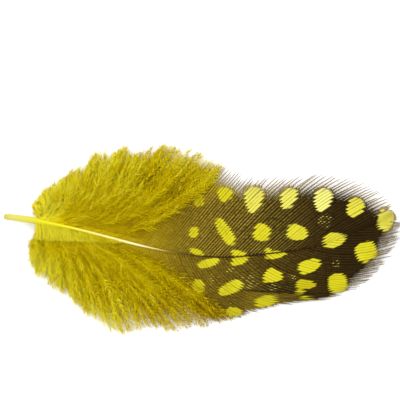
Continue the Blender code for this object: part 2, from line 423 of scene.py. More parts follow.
class ShaderNodes:
    """Writes one material's nodes."""

    def __init__(self, name: str) -> None:
        """A new material that holds a Principled BSDF and its output."""
        self.material = bpy.data.materials.new(name)
        self.material.use_nodes = True
        self.tree = self.material.node_tree
        self.shader = self.tree.nodes["Principled BSDF"]

    def node(self, kind: str, settings: dict[str, Any], inputs: dict[Any, Any]) -> bpy.types.Node:
        """Any node.

        Args:
            kind: The node's type.
            settings: Its properties, set first. The key stops holds a ramp's places and colours.
            inputs: Its sockets by name or place, each with a value, a Socket or an output socket.

        Returns:
            The node.
        """
        node = self.tree.nodes.new(kind)
        for key, value in settings.items():
            if key == "stops":
                ramp = node.color_ramp
                while len(ramp.elements) < len(value):
                    ramp.elements.new(1.0)
                for element, (place, colour) in zip(ramp.elements, value):
                    element.position = place
                    element.color = colour
            else:
                setattr(node, key, value)
        for key, value in inputs.items():
            self.feed(node.inputs[key], value)
        return node

    def feed(self, target: bpy.types.NodeSocket, value: Any) -> None:
        """Links a socket to the target, or sets the target's own value."""
        if isinstance(value, Socket):
            self.tree.links.new(value.output, target)
        elif isinstance(value, bpy.types.NodeSocket):
            self.tree.links.new(value, target)
        else:
            target.default_value = value

    def number(self, kind: str, settings: dict[str, Any], inputs: dict[Any, Any]) -> Socket:
        """A node's first output, as a number."""
        return Socket(self, self.node(kind, settings, inputs).outputs[0])

    def attribute(self, name: str) -> Socket:
        """A value that the mesh carries."""
        return Socket(self, self.node("ShaderNodeAttribute", {"attribute_name": name}, {}).outputs["Fac"])

    def noise(self, vector: bpy.types.NodeSocket, scale: float, detail: float) -> Socket:
        """Soft noise from 0 to 1 over a vector."""
        inputs = {"Vector": vector, "Scale": scale, "Detail": detail}
        return self.number("ShaderNodeTexNoise", {"noise_dimensions": "3D"}, inputs)

    def vector(self, x: Any, y: Any, z: Any) -> bpy.types.NodeSocket:
        """A vector of three numbers."""
        return self.node("ShaderNodeCombineXYZ", {}, {0: x, 1: y, 2: z}).outputs[0]

    def place(self) -> bpy.types.NodeSocket:
        """The point's place in the object, in metres."""
        return self.node("ShaderNodeTexCoord", {}, {}).outputs["Object"]

    def ramp(self, factor: Socket, stops: tuple[tuple[float, Colour], ...]) -> bpy.types.NodeSocket:
        """The colour at a place on a ramp."""
        return self.node("ShaderNodeValToRGB", {"stops": stops}, {0: factor}).outputs[0]

    def mix(self, factor: Any, below: Any, above: Any) -> bpy.types.NodeSocket:
        """One colour laid over another by a factor."""
        inputs = {0: factor, 6: below, 7: above}
        return self.node("ShaderNodeMix", {"data_type": "RGBA", "clamp_factor": True}, inputs).outputs[2]

    def bump(self, height: Socket, distance: float, strength: float) -> bpy.types.NodeSocket:
        """A normal tilted by a height in units of distance."""
        inputs = {"Height": height, "Distance": distance, "Strength": strength}
        return self.node("ShaderNodeBump", {}, inputs).outputs[0]

    def dress(self, base: Any, roughness: Any, specular: float, normal: Any = None) -> bpy.types.Material:
        """The material, its shader given a colour, a roughness, a specular level and perhaps a normal."""
        inputs = self.shader.inputs
        self.feed(inputs["Base Color"], base)
        self.feed(inputs["Roughness"], roughness)
        inputs["Specular IOR Level"].default_value = specular
        if normal is not None:
            self.feed(inputs["Normal"], normal)
        return self.material


@dataclass(frozen=True)
class HornFinish:
    """Translucent yellow horn that pales along the down and turns dark brown in the vane."""

    roughness: float = 0.4
    stops: tuple[tuple[float, Colour], ...] = (
        (0.0, srgb(168, 161, 84)), (0.02, srgb(184, 180, 88)), (0.075, srgb(188, 182, 52)),
        (0.095, srgb(193, 187, 19)), (0.17, srgb(199, 192, 32)), (0.22, srgb(205, 197, 86)),
        (0.28, srgb(217, 205, 122)), (0.345, srgb(224, 207, 150)), (0.385, srgb(196, 174, 92)),
        (0.42, srgb(138, 110, 34)), (0.45, srgb(88, 62, 13)), (0.49, srgb(40, 23, 4)),
        (1.0, srgb(22, 12, 4)),
    )
    low_fibre_colour: Colour = srgb(140, 121, 28)

    def material(self) -> bpy.types.Material:
        """Colour by the share of the feather's length; lengthwise fibres in colour, gloss and relief."""
        nodes = ShaderNodes("horn")
        along = nodes.attribute("along")
        fibres = nodes.noise(nodes.vector(along * 18.0, nodes.attribute("around") * 9.0, 0.0), 3.0, 3.0)
        base = nodes.ramp(along, self.stops)
        streaked = nodes.mix(fibres.rise(0.52, 0.75) * 0.35, base, nodes.ramp(along + 0.02, self.stops))
        # Darker where the fibres' relief is low.
        fibre_darkened = nodes.mix(fibres.rise(0.35, 0.2) * 0.3, streaked, self.low_fibre_colour)
        return nodes.dress(fibre_darkened, self.roughness + 0.16 * fibres, 0.1, nodes.bump(fibres, 0.00005, 0.5))


@dataclass(frozen=True)
class VaneFinish:
    """Dark brown to olive barbs, a light line along each that is partly a painted highlight, painted shade
    between the barbs and along the fold, and yellow spots cut off barb by barb.
    """

    roughness: float = 0.55
    ground: tuple[tuple[float, Colour], ...] = (
        (0.0, srgb(34, 22, 3)), (0.2, srgb(55, 39, 4)), (0.4, srgb(87, 68, 8)),
        (0.6, srgb(123, 102, 9)), (0.8, srgb(155, 134, 8)), (1.0, srgb(178, 159, 6)),
    )
    # The light line along each barb: the ramus's own lighter colour with a painted highlight on its ridge.
    line: Colour = srgb(166, 145, 60)
    # Painted shade in the gaps between barbs, also laid along the fold's lines.
    groove: Colour = srgb(19, 12, 5)
    grain: Colour = srgb(195, 178, 59)
    spot: tuple[tuple[float, Colour], ...] = (
        (0.0, srgb(158, 142, 8)), (0.5, srgb(188, 180, 26)), (1.0, srgb(208, 204, 110)),
    )
    # Painted shade in the gaps between barbs across a spot.
    spot_gap_shade: Colour = srgb(142, 123, 11)
    spot_inset: float = 0.17
    spot_blur: float = 0.06
    speck: Colour = srgb(200, 188, 84)
    speck_pitch: float = 0.52
    hair: Colour = srgb(142, 124, 88)

    def material(self) -> bpy.types.Material:
        """Colour from the barbs' own values, with barbules as fine oblique relief."""
        nodes = ShaderNodes("spotted_vane")
        across, along = abs(nodes.attribute("across")), nodes.attribute("along")
        strand, line = nodes.attribute("strand"), nodes.attribute("line")
        mottle = nodes.noise(nodes.vector(along * 1.9, strand * 61.0, across * 0.6), 1.0, 4.0)
        ground = nodes.ramp(nodes.attribute("tan") + (mottle - 0.5) * 0.3, self.ground)
        # The light line over each barb's ridge: lighter ramus colour and a painted highlight.
        ridge = (1.0 - across.rise(0.1, 0.4)) * line * mottle.rise(0.26, 0.6) * (0.5 + 0.6 * strand)
        ridge_line_and_highlight = nodes.mix(ridge, ground, self.line)
        # Painted shade in the gaps between barbs.
        gap_shaded = nodes.mix(across.rise(0.6, 0.95) * (0.08 + 0.34 * line), ridge_line_and_highlight, self.groove)
        dots = nodes.noise(nodes.vector(along * 6.4, strand * 83.0, across * 2.6), 1.0, 2.0)
        grained = nodes.mix(dots.rise(0.55, 0.68) * nodes.attribute("grain") * 0.42, gap_shaded, self.grain)
        gold = nodes.ramp(nodes.attribute("shade") + (mottle - 0.5) * 0.3, self.spot)
        # Painted shade in the gaps between barbs across a spot.
        spot_gap_shaded = nodes.mix(across.rise(0.5, 1.0) * 0.18, gold, self.spot_gap_shade)
        edge, blur = self.spot_inset, self.spot_blur
        inside = nodes.attribute("spot").rise(edge - blur, edge + blur)
        dyed = nodes.mix(inside, grained, spot_gap_shaded)
        cell = along / self.speck_pitch + strand * 37.0
        whole = cell.floor()
        at = {"Vector": nodes.vector(whole, strand * 91.0, 0.0)}
        chosen = nodes.number("ShaderNodeTexWhiteNoise", {"noise_dimensions": "2D"}, at)
        near_middle = 1.0 - abs(cell - whole - 0.5).rise(0.08, 0.26)
        flecks = near_middle * chosen.rise(0.3, 0.75) * nodes.attribute("speck").rise(0.0, 0.3)
        speckled = nodes.mix(flecks * (0.85 - 0.85 * across.rise(0.2, 0.7)), dyed, self.speck)
        # Painted shade along the fold's lines, in the gaps' colour.
        fold_shaded = nodes.mix(nodes.attribute("fold") * 0.85, speckled, self.groove)
        faded = nodes.mix(nodes.attribute("faded") * (1.0 - 0.7 * inside), fold_shaded, self.hair)
        barbules = nodes.bump((along * 52.0 + across * 9.0).sine(), 0.00001, 0.4)
        return nodes.dress(faded, self.roughness + 0.2 * mottle, 0.04, barbules)


@dataclass(frozen=True)
class DownFinish:
    """Dyed yellow down, with painted shade deepening its hollows, and pale at its tips."""

    roughness: float = 0.8
    stops: tuple[tuple[float, Colour], ...] = (
        (0.0, srgb(137, 103, 0)), (0.25, srgb(179, 147, 0)), (0.5, srgb(209, 183, 0)),
        (0.75, srgb(225, 206, 4)), (1.0, srgb(238, 227, 52)),
    )

    def material(self) -> bpy.types.Material:
        """Colour by each strand's own tone and soft noise over the feather."""
        nodes = ShaderNodes("dyed_down")
        drift = nodes.noise(nodes.place(), 420.0, 3.0)
        fine = nodes.noise(nodes.place(), 2600.0, 2.0)
        base = nodes.ramp(nodes.attribute("tone") + (drift - 0.5) * 0.5 + (fine - 0.5) * 0.1, self.stops)
        return nodes.dress(base, self.roughness + 0.15 * fine, 0.05, nodes.bump(fine, 0.00002, 0.4))


@dataclass(frozen=True)
class Spot:
    """One yellow spot.

    Attributes:
        x: Its middle along the feather.
        y: Its middle across it.
        length: Its length.
        width: Its width.
        turn: Its turn in degrees.
        narrows: How far it narrows ahead.
        corners: Its squareness: 2 is an ellipse.
        shade: Its place between dark and pale yellow.
    """

    x: float
    y: float
    length: float
    width: float
    turn: float = 0.0
    narrows: float = 0.0
    corners: float = 2.2
    shade: float = 0.5

    def depth(self, x: Array, y: Array) -> Array:
        """How far inside the spot a point lies, in millimetres.

        With u and v as the point's place along and across the spot in half lengths and half widths, it is 1
        less the root of the summed powers of u and v, times the spot's smaller half.
        """
        turn = math.radians(self.turn)
        dx, dy = x - self.x, y - self.y
        u = (dx * math.cos(turn) + dy * math.sin(turn)) / (self.length / 2)
        half = self.width / 2 * np.clip(1 - self.narrows * u, 0.12, 2.0)
        v = (dy * math.cos(turn) - dx * math.sin(turn)) / half
        reach = (np.abs(u) ** self.corners + np.abs(v) ** self.corners) ** (1 / self.corners)
        return (1 - reach) * min(self.length, self.width) / 2


@dataclass(frozen=True)
class Pattern:
    """What is dyed and grown on the vanes.

    Attributes:
        spots: The yellow spots.
        specks: The clusters of specks: middle x and y, half width along and across.
        lights: How light the ground is along the feather, from dyed yellow to nearly black.
    """

    spots: tuple[Spot, ...] = tuple(
        Spot(*row)
        for row in (
            (37.1, 8.4, 2.8, 2.4, 60, 0.0, 2.0, 0.3), (42.05, 9.55, 3.1, 3.2, -100, 0.35, 2.0, 0.4),
            (47.45, 8.55, 5.6, 3.5, -98, 0.45, 2.2, 0.7), (54.1, 8.85, 4.6, 3.2, -112, 0.25, 2.3, 0.75),
            (60.65, 8.55, 5.0, 3.5, -106, 0.25, 2.2, 1.0), (66.85, 7.1, 4.3, 3.4, -118, 0.14, 2.3, 0.6),
            (72.7, 4.75, 4.6, 3.3, -104, 0.1, 2.6, 0.65), (36.2, 2.5, 2.7, 1.9, 58, 0.1, 2.2, 0.4),
            (42.05, 2.6, 6.7, 2.5, -60, -0.1, 2.6, 0.5), (49.05, 2.45, 3.7, 3.5, 80, 0.0, 2.3, 0.5),
            (55.75, 2.4, 4.4, 3.3, -12, 0.22, 2.2, 0.55), (62.9, 1.0, 4.8, 3.1, 14, 0.28, 2.2, 0.55),
            (36.7, -1.25, 3.6, 1.55, -22, -0.2, 2.0, 0.4), (44.6, -1.5, 3.8, 1.55, -8, 0.1, 2.0, 0.5),
            (50.2, -1.0, 1.8, 1.3, 0, 0.0, 2.2, 0.5), (38.95, -3.3, 5.0, 1.9, 17, 0.15, 2.2, 0.5),
            (44.9, -2.85, 4.1, 1.9, 20, 0.2, 2.2, 0.45), (51.7, -1.8, 4.9, 1.85, 6, 0.45, 2.0, 0.5),
            (37.0, -7.8, 3.1, 2.8, -80, 0.0, 2.0, 0.35), (43.1, -8.05, 5.4, 2.6, 27, -0.1, 2.4, 0.5),
            (51.05, -5.6, 3.1, 3.8, 98, 0.42, 2.4, 0.5), (58.05, -3.95, 4.8, 2.9, 20, 0.14, 2.3, 0.5),
            (68.9, -1.25, 4.4, 4.0, 20, 0.05, 2.7, 0.5), (43.8, -12.7, 3.9, 2.0, -8, 0.0, 2.4, 0.35),
            (49.8, -10.6, 4.6, 2.5, 14, 0.0, 2.8, 0.35), (57.4, -7.5, 4.5, 2.0, -2, 0.45, 2.8, 0.25),
            (56.3, -9.0, 2.4, 1.4, 0, 0.0, 2.4, 0.25), (57.5, -10.2, 2.7, 1.4, -16, 0.0, 2.2, 0.25),
            (63.45, -7.25, 3.9, 3.8, 5, 0.0, 3.0, 0.45),
        )
    )
    specks: Rows = (
        (61.1, 4.6, 1.7, 1.5), (63.2, -3.4, 0.9, 1.0), (55.0, -5.9, 1.1, 0.6), (51.4, -8.0, 1.2, 0.9),
        (46.5, -6.8, 2.1, 1.7), (44.0, -11.0, 1.2, 0.6), (39.6, -6.3, 1.2, 0.9), (43.0, -4.6, 1.6, 0.6),
    )
    lights: Rows = (
        (14.0, 1.0), (22.0, 0.9), (28.0, 0.7), (34.0, 0.47), (42.0, 0.32), (52.0, 0.17), (64.0, 0.0),
    )

    def spots_at(self, x: Array, y: Array) -> tuple[Array, Array]:
        """The depth inside the nearest spot, and that spot's shade."""
        depths = np.stack([spot.depth(x, y) for spot in self.spots])
        best = depths.argmax(axis=0)
        shades = np.array([spot.shade for spot in self.spots])
        return np.take_along_axis(depths, best[None], axis=0)[0], shades[best]

    def specks_at(self, x: Array, y: Array) -> Array:
        """Above 0 inside a cluster of specks: 1 less the distance from its middle in half widths."""
        near = [1 - np.hypot((x - mx) / half_x, (y - my) / half_y) for mx, my, half_x, half_y in self.specks]
        return np.clip(np.stack(near).max(axis=0), 0.0, 1.0)

    def tan_at(self, x: Array, y: Array, side: Side) -> Array:
        """How light the ground is; above the shaft it pales again towards the edge."""
        ahead = side.of(0.12 * np.abs(y - 1.0), -0.25 * np.clip(-6.0 - y, 0.0, None))
        edge = side.of(0.45, 0.0) * smooth(7.0, 12.5, y) * smooth(64.0, 44.0, x)
        return np.clip(straight(self.lights, x + ahead) + edge, 0.0, 1.0)

    def line_at(self, x: Array, side: Side) -> Array:
        """How plain the light line along each barb is: the ramus's lighter colour with its painted
        highlight.
        """
        if side is Side.UPPER:
            return 0.04 + 0.72 * smooth(30.0, 39.0, x) * smooth(61.0, 46.0, x)
        return 0.04 + 0.12 * smooth(30.0, 38.0, x) * smooth(60.0, 44.0, x)

    def grain_at(self, x: Array) -> Array:
        """How grainy the vane is: over its loose first part, light dots of yellow barbules show."""
        return smooth(68.0, 34.0, x)


@dataclass(frozen=True)
class Crease:
    """The fold along the lower vane's edge, where the vane drops by a step.

    Attributes:
        line: The fold's x and y.
        opens: Between which x it opens.
        closes: Between which x it closes, backwards.
        step: How high its lip stands.
        lip_reach: How far inwards the lip has sunk to a third.
        second_drop: How far below the first line the second lies.
        second_step: How high the strip between the two lines stands.
    """

    line: Rows = (
        (43.7, -7.9), (46.3, -8.5), (51.6, -8.8), (56.3, -9.0), (60.1, -9.9), (64.9, -11.0),
    )
    opens: tuple[float, float] = (43.5, 48.0)
    closes: tuple[float, float] = (66.0, 60.0)
    step: float = 0.55
    lip_reach: float = 1.3
    second_drop: float = 1.15
    second_step: float = 0.18

    def strength(self, x: Array) -> Array:
        """How far the fold has opened at x, from 0 to 1."""
        return smooth(*self.opens, x) * smooth(*self.closes, x)

    def over(self, x: Array, y: Array) -> Array:
        """How far above the fold's line a point lies in plan."""
        return y - straight(self.line, x)

    def lift(self, x: Array, y: Array) -> Array:
        """The height that the fold adds: a lip above its line that fades inwards, and a drop below it."""
        over = self.over(x, y)
        lip = self.step * np.exp(-np.clip(over, 0.0, None) / self.lip_reach)
        strip = self.second_step * smooth(-self.second_drop - 0.1, -self.second_drop + 0.1, over)
        return self.strength(x) * np.where(over > 0, lip, strip)

    def shadow(self, x: Array, y: Array) -> Array:
        """Painted shade on the ground above the fold, less a painted light on the strip below it."""
        over = self.over(x, y)
        above = 0.6 * smooth(0.0, 0.2, over) * smooth(2.2, 0.8, over)
        above = above * smooth(48.5, 51.0, x) * smooth(58.5, 56.0, x)
        return above - 0.22 * smooth(0.0, -0.2, over) * self.strength(x)

    def painted_fold_line_shade(self, x: Array, y: Array) -> Array:
        """Painted shade along the fold's two lines: bell curves about each."""
        over = self.over(x, y)
        first = np.exp(-(((over + 0.08) / 0.16) ** 2))
        second = 0.7 * np.exp(-(((over + self.second_drop) / 0.12) ** 2)) * smooth(50.0, 53.0, x)
        return self.strength(x) * np.maximum(first, second)


def wander(rng: Rng, strands: int, at: Array, waves: tuple[float, ...]) -> Array:
    """Smooth wandering of each strand: a sum of sines with phases of its own, each weaker the finer it is.

    Args:
        rng: The source of the phases.
        strands: How many strands.
        at: The places along each strand, 0 to 1.
        waves: The waves' counts along a strand.

    Returns:
        The offsets, about -1 to 1, in the shape (strands, places).
    """
    total = np.zeros((strands, np.shape(at)[-1]))
    for wave in waves:
        phase = rng.uniform(0, 2 * math.pi, (strands, 1))
        size = rng.normal(0.0, 1.0, (strands, 1)) / math.sqrt(wave)
        total += size * np.sin(2 * math.pi * wave * at + phase)
    return total / len(waves)


@dataclass
class Shaft:
    """Quill and rachis: one tapering horn tube with a shallow groove along its top."""

    plan: FeatherPlan
    finish: HornFinish
    rings: int = 220
    corners: int = 18
    end_x: float = 74.4
    radii: Rows = (
        (0.0, 0.24), (0.2, 0.46), (0.7, 0.56), (2.4, 0.6), (5.4, 0.62), (6.8, 0.6), (8.4, 0.42),
        (10.5, 0.31), (13.0, 0.27), (18.0, 0.25), (23.6, 0.23), (27.4, 0.175), (30.0, 0.14),
        (33.0, 0.105), (50.0, 0.1), (57.0, 0.08), (62.0, 0.05), (74.4, 0.03),
    )
    flatness: float = 0.92
    groove: float = 0.1
    ribs: float = 0.015
    lift: float = 0.34
    vane_lift: float = 0.14
    sinks: float = 0.05

    def build(self) -> bpy.types.Object:
        """The tube.

        Each ring is an ellipse. Its radius is less by the groove's depth times a bell curve about the top,
        and wavers with seven lengthwise ribs.
        """
        x = self.end_x * np.linspace(0, 1, self.rings) ** 1.15
        line = self.plan.shaft_at(x)
        line[:, 2] += self.lift * smooth(8.0, 14.0, x) - (self.lift - self.vane_lift) * smooth(30.0, 38.0, x)
        line[:, 2] -= (self.vane_lift + self.sinks) * smooth(56.0, 61.0, x)
        aside = np.cross(UP, unit(np.gradient(line, axis=0) * LEVEL))[:, None, :]
        turn = (2 * math.pi * (np.arange(self.corners) + 0.5) / self.corners)[None, :]
        groove = self.groove * np.exp(-(((turn - math.pi / 2) / 0.35) ** 2)) * smooth(7.0, 10.0, x)[:, None]
        ribs = self.ribs * np.sin(7 * turn + x[:, None] * 0.3)
        wide = through(self.radii, x)[:, None] * (1 - groove + ribs)
        rings = line[:, None, :] + aside * (wide * np.cos(turn))[..., None]
        rings += UP * (self.flatness * wide * np.sin(turn))[..., None]
        draft = MeshDraft()
        values = {"along": (x / LENGTH)[None, :, None], "around": (turn / (2 * math.pi))[None]}
        draft.add_tubes(rings[None], values)
        piece = draft.build("quill_and_rachis", self.finish.material())
        return piece


@dataclass
class Vane:
    """One vane: barbs side by side from the shaft to the edge, where they come apart and show barbules.

    Attributes:
        fringe: For each side, root x and the share of a barb's length where it comes apart from the others.
        runs_on: For each side, the roots between which barbs come to run on to the edge below the down.
        ridges: For each side, how high the barbs' ridges stand, in units of ridge.
        hair_length: How many lengths longer than a barbule the hair of the edge is.
        lowest: The least height of a barbule's tip.
    """

    plan: FeatherPlan
    pattern: Pattern
    crease: Crease
    side: Side
    material: bpy.types.Material
    seed: int
    first_root: float = 15.5
    first_pitch: float = 0.44
    pitch: float = 0.5
    rings: int = 64
    ridge: float = 0.05
    keel: float = 0.07
    spill: float = 1.3
    loose_width: float = 0.22
    barbule_pitch: float = 0.08
    barbule_length: float = 0.3
    barbule_thickness: float = 0.019
    barbule_leans: tuple[float, float] = (30.0, 46.0)
    hair_length: float = 4.8
    lowest: float = 0.05
    fringe: tuple[Rows, Rows] = (
        ((15.0, 0.85), (28.0, 0.74), (34.0, 0.64), (40.0, 0.6), (50.0, 0.62), (62.0, 0.68), (73.0, 0.5)),
        ((15.0, 0.95), (31.0, 0.87), (42.0, 0.82), (46.0, 0.78), (53.0, 0.75), (60.0, 0.68), (73.0, 0.45)),
    )
    runs_on: Rows = ((22.0, 26.0), (27.0, 29.5))
    ridges: tuple[float, float] = (0.9, 0.25)

    def even_roots(self) -> Array:
        """Where the barbs leave the shaft, so that they lie a pitch apart.

        The pitch is measured square to the barbs at 0.3 of their length. The running count of pitches along
        the shaft, read backwards half way between whole numbers, gives the roots.
        """
        at = np.linspace(self.first_root, LAST_ROOT, 700)
        near = self.plan.barb_at(self.side, at, 0.28)
        ahead = unit((self.plan.barb_at(self.side, at, 0.32) - near) * LEVEL)
        step = np.gradient(near, at, axis=0)
        width = np.maximum(np.abs(step[:, 0] * ahead[:, 1] - step[:, 1] * ahead[:, 0]), 0.42)
        pitch = self.first_pitch + (self.pitch - self.first_pitch) * smooth(33.0, 41.0, near[:, 0])
        run = np.cumsum(width / pitch) * (at[1] - at[0])
        return np.interp(np.arange(0.5, run[-1]), run, at)

    def lines(self, rng: Rng) -> Values:
        """Each barb's roots and shares, which waver more the further out they are and gather into groups.

        Args:
            rng: The source of the variation.

        Returns:
            By barb: roots, reach and gap. By barb and ring: root, share, and loose, which rises from 0 to 1
            over the part that has come apart.
        """
        roots = self.even_roots()
        count = len(roots)
        gap = np.gradient(roots)
        roots = roots + rng.normal(0, 0.06, count) * gap
        under = 0.1 + 0.1 * smooth(24.0, 27.0, roots) + 0.4 * smooth(*self.side.of(*self.runs_on), roots)
        turning = self.plan.turns_to_down(self.side, roots)
        reach = np.minimum(1.0 - 0.08 * rng.random(count) ** 2, turning + under)
        share = np.linspace(0, 1, self.rings)[None, :] * reach[:, None]
        start = straight(self.side.of(*self.fringe), roots)[:, None]
        loose = smooth(0.0, 1.0, (share - start) / (1.0 - start))
        group = np.convolve(rng.normal(0, 1, count + 4), np.ones(5) / 2.2, mode="valid")[:, None]
        fine = wander(rng, count, share, (0.7, 1.6, 3.1))
        root = roots[:, None] + gap[:, None] * ((0.16 * group + 0.36 * fine) * loose + 0.05 * fine)
        root = np.clip(root, FIRST_ROOT, LAST_ROOT)
        by_barb = {"roots": roots, "reach": reach, "gap": gap[:, None]}
        return {"root": root, "share": share, "loose": loose, **by_barb}

    def surface(self, root: Array, share: Array) -> Array:
        """The vane's own surface, with its crease."""
        points = self.plan.barb_at(self.side, np.clip(root, FIRST_ROOT, LAST_ROOT), share)
        points[..., 2] += self.side.of(0.0, 1.0) * self.crease.lift(points[..., 0], points[..., 1])
        return points

    def values(self, middle: Array, lines: Values, rng: Rng) -> Values:
        """What the finish reads, worked out on each barb's middle line, so that a spot ends barb by barb.

        Args:
            middle: The barbs' middle lines.
            lines: What lines() gives.
            rng: The source of the variation.

        Returns:
            Named values by barb and ring.
        """
        jitter = rng.normal(0, 0.07, (len(middle), 1))
        x, y = middle[..., 0] + jitter * 0.8, middle[..., 1] + jitter * 0.5 * self.side.value
        depth, shade = self.pattern.spots_at(x, y)
        creased = self.side.of(0.0, 1.0)
        # Painted shade above the fold, and painted light on the strip below it.
        light = self.pattern.tan_at(x, y, self.side) - creased * self.crease.shadow(x, y)
        return {
            "spot": depth,
            "shade": shade,
            "speck": self.pattern.specks_at(x, y),
            "tan": light + 0.28 * lines["loose"],
            "line": self.pattern.line_at(x, self.side) * (1 - 0.5 * lines["loose"]),
            "grain": self.pattern.grain_at(x),
            "along": lines["share"] * self.plan.barb_length(self.side, lines["roots"])[:, None],
            # Painted shade along the fold's lines.
            "fold": creased * self.crease.painted_fold_line_shade(middle[..., 0], middle[..., 1]),
            "faded": 0.95 * smooth(0.05, 0.8, lines["loose"]),
            "strand": np.broadcast_to(rng.random((len(middle), 1)), x.shape),
        }

    def build(self) -> list[bpy.types.Object]:
        """The barbs and, as a piece of their own, the barbules of their loose ends.

        A barb's section has six corners: two low edges a little past half way to its neighbours, so that no
        gap shows, a ridge over its middle between two shoulders, and a keel below. Where the barb is loose
        its edges draw in to the loose width, times half the gap between barbs.
        """
        rng = np.random.default_rng(self.seed)
        lines = self.lines(rng)
        root, share = lines["root"], lines["share"]
        end = smooth(1.0, 0.93, share / lines["reach"][:, None])
        bare = self.surface(root, share)
        inside = smooth(-0.2, 0.05, self.pattern.spots_at(bare[..., 0], bare[..., 1])[0])
        fill = self.spill + (self.loose_width - self.spill) * lines["loose"] ** 0.42
        fill = np.maximum(fill, 1.2 * inside)
        half = self.side.value * np.minimum(lines["gap"] / 2, 0.6) * fill * (0.12 + 0.88 * end)
        left, right = self.surface(root - half, share), self.surface(root + half, share)
        middle = (left + right) / 2
        middle += UP * (0.05 * wander(rng, len(root), share, (1.0, 2.3)))[..., None]
        x = middle[..., :1]
        thin = (0.35 + 0.65 * end)[..., None]
        high = self.ridge * thin * (0.15 + 0.85 * smooth(30.0, 40.0, x)) * (1 - 0.6 * smooth(46.0, 60.0, x))
        high = high * self.side.of(*self.ridges)
        section = [
            left - UP * 0.04 * thin,
            left * 0.26 + middle * 0.74 + UP * 0.6 * high,
            middle + UP * high,
            right * 0.26 + middle * 0.74 + UP * 0.6 * high,
            right - UP * 0.04 * thin,
            middle - UP * self.keel * thin,
        ]
        values = self.values(middle, lines, rng)
        spread = {name: value[..., None] for name, value in values.items()}
        spread["across"] = np.array((-self.spill, -0.34, 0.0, 0.34, self.spill, 0.0))
        barbs = MeshDraft()
        barbs.add_tubes(np.stack(section, axis=2), spread)
        name = f"{self.side.name.lower()}_vane"
        pieces = [barbs.build(f"{name}_barbs", self.material)]
        pieces.append(self.barbules(middle, values, lines, rng).build(f"{name}_barbules", self.material))
        return pieces

    def barbules(self, middle: Array, values: Values, lines: Values, rng: Rng) -> MeshDraft:
        """Spikes along both sides of the loose ends.

        Each leans ahead of its barb. At the barb's very end they lean only a few degrees and are several
        times as long, which makes the soft hair of the feather's edge.

        Args:
            middle: The barbs' middle lines.
            values: What values() gives.
            lines: What lines() gives.
            rng: The source of the variation.

        Returns:
            The spikes, with values of their own.
        """
        length = self.plan.barb_length(self.side, lines["roots"])
        each = np.maximum((length * 0.62 / self.barbule_pitch).astype(int), 8)
        barb = np.repeat(np.arange(len(each)), each * 2)
        way = np.where(rng.random(len(barb)) < 0.5, -1.0, 1.0)
        ring = rng.uniform(0.36, 0.99, len(barb)) * (self.rings - 1)
        loose = lines["loose"][barb, ring.astype(int)]
        keep = rng.random(len(barb)) < smooth(0.0, 0.25, loose) * self.side.of(0.16, 1.0)
        barb, way, ring = barb[keep], way[keep], ring[keep]
        low, count = ring.astype(int), len(barb)
        ending = smooth(0.7, 0.95, ring / (self.rings - 1))
        lean = np.radians(rng.uniform(*self.barbule_leans, count) * (1 - 0.86 * ending)) * way
        ahead = unit(np.gradient(middle, axis=1))[barb, low]
        heading = turned(ahead, lean, rng.normal(0, 0.12, count))
        hair = ending * self.side.of(0.15, smooth(40.0, 54.0, lines["roots"][barb]))
        reach = self.barbule_length * rng.uniform(0.6, 1.25, count) * (1 + self.hair_length * hair)
        root = between(middle, barb, ring)
        tips = root + heading * reach[:, None]
        tips[:, 2] = np.maximum(tips[:, 2], self.lowest)
        own = {name: value[barb, low] for name, value in values.items()}
        own["tan"] = own["tan"] + 0.15 + 0.25 * ending
        own["faded"] = np.maximum(own["faded"], 0.75 * ending)
        own["across"] = np.full(count, 0.2)
        draft = MeshDraft()
        draft.add_spikes(root, tips, self.barbule_thickness - 0.005 * hair, own)
        return draft


